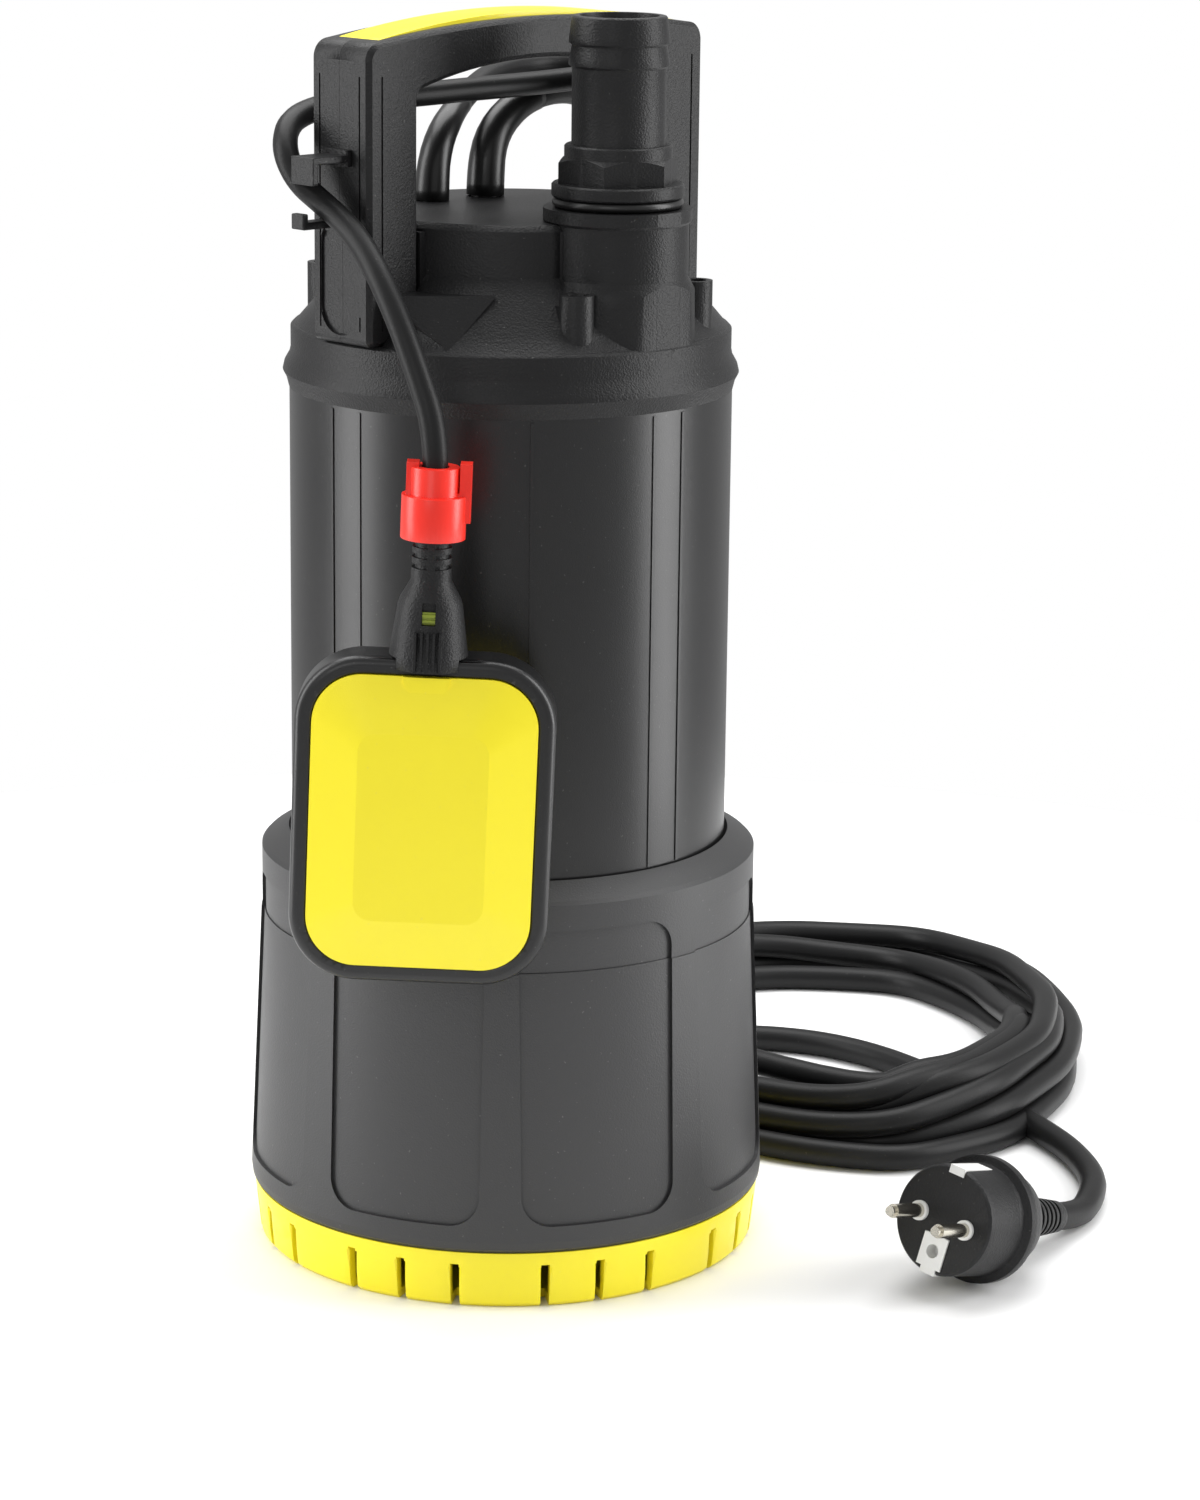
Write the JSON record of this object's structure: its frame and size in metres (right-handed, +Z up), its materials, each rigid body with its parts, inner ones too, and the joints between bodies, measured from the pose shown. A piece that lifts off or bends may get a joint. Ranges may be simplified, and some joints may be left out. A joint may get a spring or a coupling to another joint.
{
  "type": "submersible sump pump",
  "caption": "Upright submersible pump with slotted strainer base, tubular jacket, arched handle, hose connector, float switch, coiled mains cable and plug.",
  "frame": {"origin": "centre of the strainer base's underside, on the floor", "axes": "+Z up along the pump's axis, X along the handle, the hose outlet on the -Y side"},
  "size_m": [0.4982, 0.3808, 0.4265],
  "materials": {
    "yellow_plastic": "satin moulded yellow plastic",
    "grained_black_plastic": "fine-grained black moulded plastic",
    "smooth_black_plastic": "smooth semi-gloss black plastic",
    "red_plastic": "glossy red plastic",
    "indicator_plastic": "glossy green and yellow indicator",
    "black_rubber_cable": "smooth dull black rubber sheath",
    "black_rubber": "smooth black rubber",
    "stainless_steel": "turned stainless steel",
    "stage_plastic": "dark grey glass-filled plastic",
    "seal_ceramic": "polished ceramic",
    "bearing_steel": "ground bearing steel",
    "cast_aluminium": "cast aluminium",
    "core_steel": "laminated electrical steel",
    "winding_copper": "enamelled copper",
    "capacitor_plastic": "white plastic case",
    "nickel_plated_brass": "nickel-plated brass",
    "white_plastic": "white moulded plastic"
  },
  "bodies": {
    "pump": {"strainer_base": "yellow_plastic", "strainer_screws": "stainless_steel", "suction_plate": "stage_plastic", "lower_casing": "grained_black_plastic", "collar_ring": "grained_black_plastic", "casing_seal": "black_rubber", "stage_bowl_1": "stage_plastic", "stage_bowl_2": "stage_plastic", "stage_bowl_3": "stage_plastic", "stage_bowl_4": "stage_plastic", "discharge_head": "stage_plastic", "shaft_seal_seat": "seal_ceramic", "motor_can": "stainless_steel", "lower_bearing": "bearing_steel", "upper_bearing": "bearing_steel", "bearing_shield": "cast_aluminium", "stator_core": "core_steel", "windings": "winding_copper", "can_lid": "stage_plastic", "capacitor": "capacitor_plastic", "jacket": "smooth_black_plastic", "top_cover": "grained_black_plastic", "outlet_boss": "grained_black_plastic", "cover_seal": "black_rubber", "cover_screws": "stainless_steel", "handle_front_half": "grained_black_plastic", "handle_rear_half": "grained_black_plastic", "grip_insert": "yellow_plastic", "cable_hooks": "grained_black_plastic", "float_cable_gland": "black_rubber", "mains_cable_gland": "black_rubber", "valve_seat": "stage_plastic", "valve_pin": "stainless_steel", "hose_connector": "grained_black_plastic", "connector_o_ring": "black_rubber", "float_cable_held": "black_rubber_cable", "mains_riser": "black_rubber_cable", "mains_coil": "black_rubber_cable", "mains_tail": "black_rubber_cable", "plug_body": "grained_black_plastic", "plug_pins": "nickel_plated_brass", "plug_pin_sleeves": "white_plastic", "plug_earth": "white_plastic"},
    "rotor": {"shaft": "stainless_steel", "rotor_core": "core_steel", "impeller_1": "stage_plastic", "impeller_2": "stage_plastic", "impeller_3": "stage_plastic", "impeller_4": "stage_plastic", "shaft_seal_ring": "seal_ceramic"},
    "valve": {"valve_flap": "black_rubber"},
    "float": {"float_rim": "smooth_black_plastic", "float_front_shell": "yellow_plastic", "float_rear_shell": "yellow_plastic", "float_gland": "grained_black_plastic", "float_indicator": "indicator_plastic", "switch_body": "stage_plastic", "float_cable_drop": "black_rubber_cable"},
    "ball": {"switch_ball": "bearing_steel"},
    "clip": {"cable_clip": "red_plastic"}
  },
  "joints": [
    {"name": "rotor_spin", "type": "hinge", "parent": "pump", "child": "rotor", "pos_m": [0, 0, 0.15], "axis": [0, 0, 1], "continuous": true},
    {"name": "valve_swing", "type": "hinge", "parent": "pump", "child": "valve", "pos_m": [0, -0.039, 0.3376], "axis": [-1, 0, 0], "range_deg": [0, 55]},
    {"name": "float_swing", "type": "hinge", "parent": "pump", "child": "float", "pos_m": [-0.0843, 0.001, 0.368], "axis": [0, 1, 0], "range_deg": [0, 120]},
    {"name": "ball_slide", "type": "slide", "parent": "float", "child": "ball", "axis": [0.0247, -0.0247, 0.9994], "range_m": [0, 0.014]},
    {"name": "clip_slide", "type": "slide", "parent": "float", "child": "clip", "axis": [0.0247, -0.0247, 0.9994], "range_m": [0, 0.004]}
  ]
}
